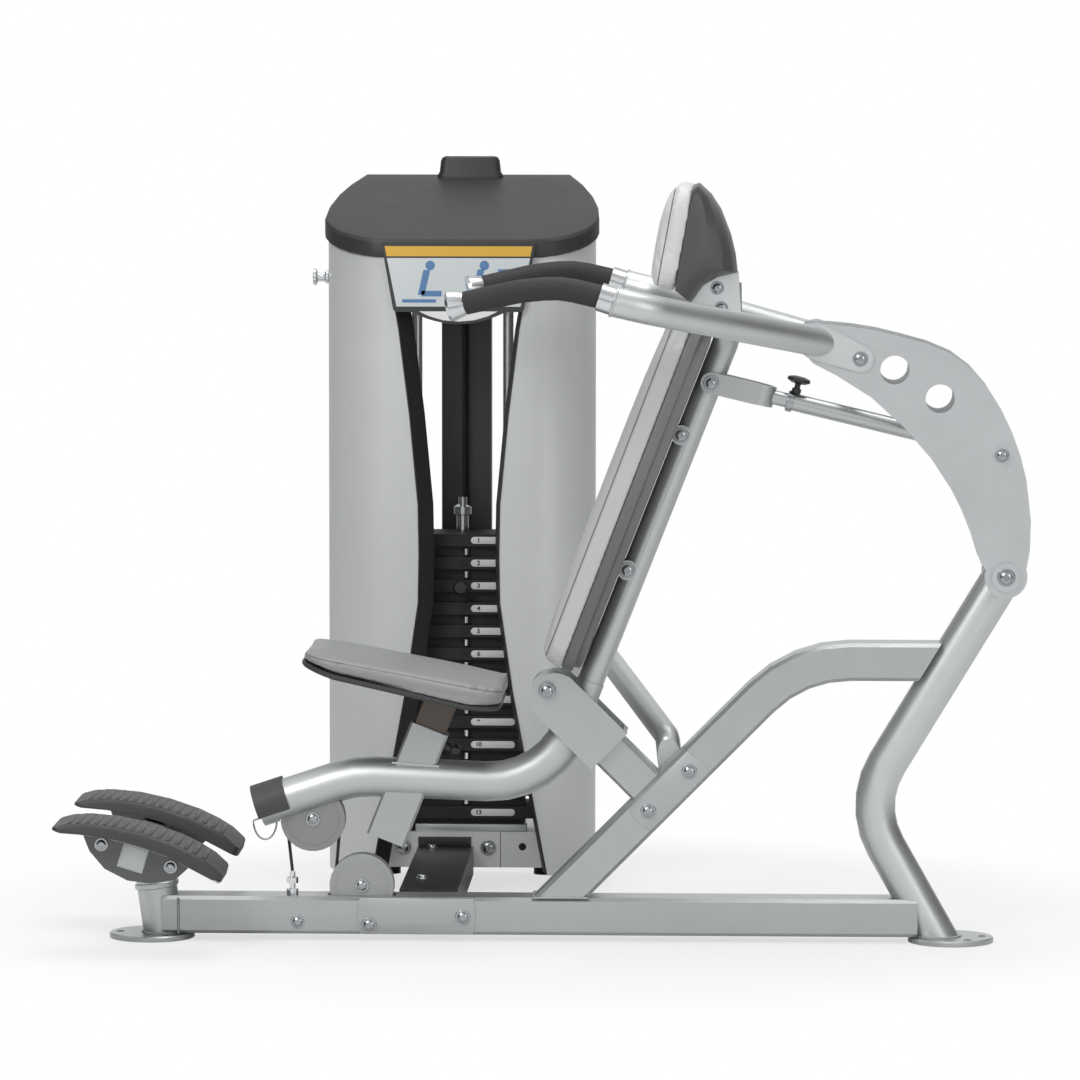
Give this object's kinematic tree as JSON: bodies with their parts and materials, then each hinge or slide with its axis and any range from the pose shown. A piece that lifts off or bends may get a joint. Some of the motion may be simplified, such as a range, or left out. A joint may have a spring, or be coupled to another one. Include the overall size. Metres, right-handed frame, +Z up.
{
  "type": "shoulder press machine",
  "caption": "Seated shoulder press: silver tube frame, curved press arm linked to a rocking seat with back and head pads, cable, and a weight stack in a guarded tower.",
  "frame": {"origin": "middle of the bounding box on the floor", "axes": "+X from the foot rest to the rear upright, +Y from the near handle to the weight tower, +Z up"},
  "size_m": [1.6336, 1.2702, 1.313],
  "materials": {
    "silver_paint": "silver-grey metallic paint, satin",
    "dark_paint": "dark warm-grey textured paint",
    "panel_grey": "light satin grey",
    "cap_grey": "dark warm-grey fine grain",
    "black_iron": "black painted iron",
    "chrome": "polished plating",
    "black_rubber": "soft black rubber or foam",
    "grey_vinyl": "light grey upholstery vinyl, fine grain",
    "shell_grey": "dark grey moulded shell",
    "pulley_black": "black nylon",
    "cable_black": "black coated steel cable",
    "placard_plastic": "printed plastic plate"
  },
  "bodies": {
    "frame": {"front_foot": "silver_paint", "front_post": "silver_paint", "base_rail": "silver_paint", "rear_foot": "silver_paint", "rear_upright": "silver_paint", "frame_brace": "silver_paint", "carriage_bracket": "silver_paint", "tower_brace": "silver_paint", "stack_crossbar": "dark_paint", "foot_frame": "silver_paint", "foot_plate_near": "dark_paint", "foot_plate_far": "dark_paint", "base_cheeks": "dark_paint", "cable_anchor": "chrome", "tower_base": "silver_paint", "tower_post": "dark_paint", "tower_cap": "cap_grey", "panel_left": "panel_grey", "panel_right": "panel_grey", "placard": "placard_plastic", "guide_rod_left": "chrome", "guide_rod_right": "chrome", "towel_peg": "chrome", "resting_plates": "black_iron", "frame_cable": "cable_black", "carriage_cable": "cable_black", "stack_cable": "cable_black"},
    "carriage": {"carriage_tube": "silver_paint", "seat_sleeve": "silver_paint", "tube_boot": "black_rubber", "carriage_cheeks": "dark_paint", "back_upright": "silver_paint", "back_cushion": "grey_vinyl", "back_shell": "shell_grey", "head_cushion": "grey_vinyl", "head_shell": "shell_grey", "head_bracket": "silver_paint"},
    "seat": {"seat_post": "dark_paint", "seat_pan": "shell_grey", "seat_cushion": "grey_vinyl"},
    "seat_lock": {"seat_pin": "black_rubber"},
    "link": {"link_clevis": "silver_paint", "link_tube": "silver_paint"},
    "link_lock": {"link_knob": "black_rubber"},
    "arm": {"arm_plate_near": "silver_paint", "arm_plate_far": "silver_paint", "arm_tube_near": "silver_paint", "arm_tube_far": "silver_paint", "handle_bar_near": "chrome", "handle_bar_far": "chrome", "grip_near": "black_rubber", "grip_far": "black_rubber", "arm_crossbar": "silver_paint"},
    "lift": {"lifted_plates": "black_iron", "selector_rod": "chrome"},
    "weight_pin": {"selector_pin": "chrome"},
    "carriage_wheel": {"carriage_pulley": "pulley_black"},
    "base_wheel": {"base_pulley": "pulley_black"},
    "top_wheel": {"top_pulley": "pulley_black"}
  },
  "joints": [
    {"name": "press_arm", "type": "hinge", "parent": "frame", "child": "arm", "pos_m": [0.7758, -0.24987, 0.628], "axis": [0, 1, 0], "range_deg": [0, 40]},
    {"name": "carriage_rock", "type": "hinge", "parent": "frame", "child": "carriage", "pos_m": [0.0048, -0.24987, 0.43], "axis": [0, 1, 0], "range_deg": [0, 15], "deforming": ["carriage_cable"]},
    {"name": "link_swing", "type": "hinge", "parent": "carriage", "child": "link", "pos_m": [0.2798, -0.24987, 0.95], "axis": [0, 1, 0], "range_deg": [-21.5, 0]},
    {"name": "stack_lift", "type": "slide", "parent": "frame", "child": "lift", "axis": [0, 0, 1], "range_m": [0, 0.225], "deforming": ["stack_cable"]},
    {"name": "base_pulley_spin", "type": "hinge", "parent": "frame", "child": "base_wheel", "pos_m": [-0.3122, -0.24987, 0.091], "axis": [0, 1, 0], "range_deg": [0, 276]},
    {"name": "carriage_pulley_spin", "type": "hinge", "parent": "carriage", "child": "carriage_wheel", "pos_m": [-0.3952, -0.24987, 0.205], "axis": [0, 1, 0], "range_deg": [-154, 0]},
    {"name": "top_pulley_spin", "type": "hinge", "parent": "frame", "child": "top_wheel", "pos_m": [-0.1732, 0.46513, 1.125], "axis": [1, 0, 0], "range_deg": [-233, 0]},
    {"name": "seat_height", "type": "slide", "parent": "carriage", "child": "seat", "axis": [0.3665, 0, 0.9304], "range_m": [-0.04, 0.08]},
    {"name": "seat_pin_pull", "type": "slide", "parent": "carriage", "child": "seat_lock", "axis": [0.9304, 0, -0.3665], "range_m": [0, 0.01], "stiffness_N_per_m": 400},
    {"name": "link_knob_pull", "type": "slide", "parent": "link", "child": "link_lock", "axis": [0.2331, 0, 0.9724], "range_m": [0, 0.01], "stiffness_N_per_m": 400},
    {"name": "weight_pin_pull", "type": "slide", "parent": "lift", "child": "weight_pin", "axis": [0, -1, 0], "range_m": [0, 0.03]}
  ],
  "couplings": [
    {"joint": "carriage_rock", "follows": "press_arm", "ratio": 0.372},
    {"joint": "link_swing", "follows": "press_arm", "ratio": -0.525},
    {"joint": "stack_lift", "follows": "press_arm", "m_per_rad": 0.318},
    {"joint": "base_pulley_spin", "follows": "press_arm", "ratio": 6.84},
    {"joint": "carriage_pulley_spin", "follows": "press_arm", "ratio": -3.8},
    {"joint": "top_pulley_spin", "follows": "press_arm", "ratio": -5.78}
  ]
}
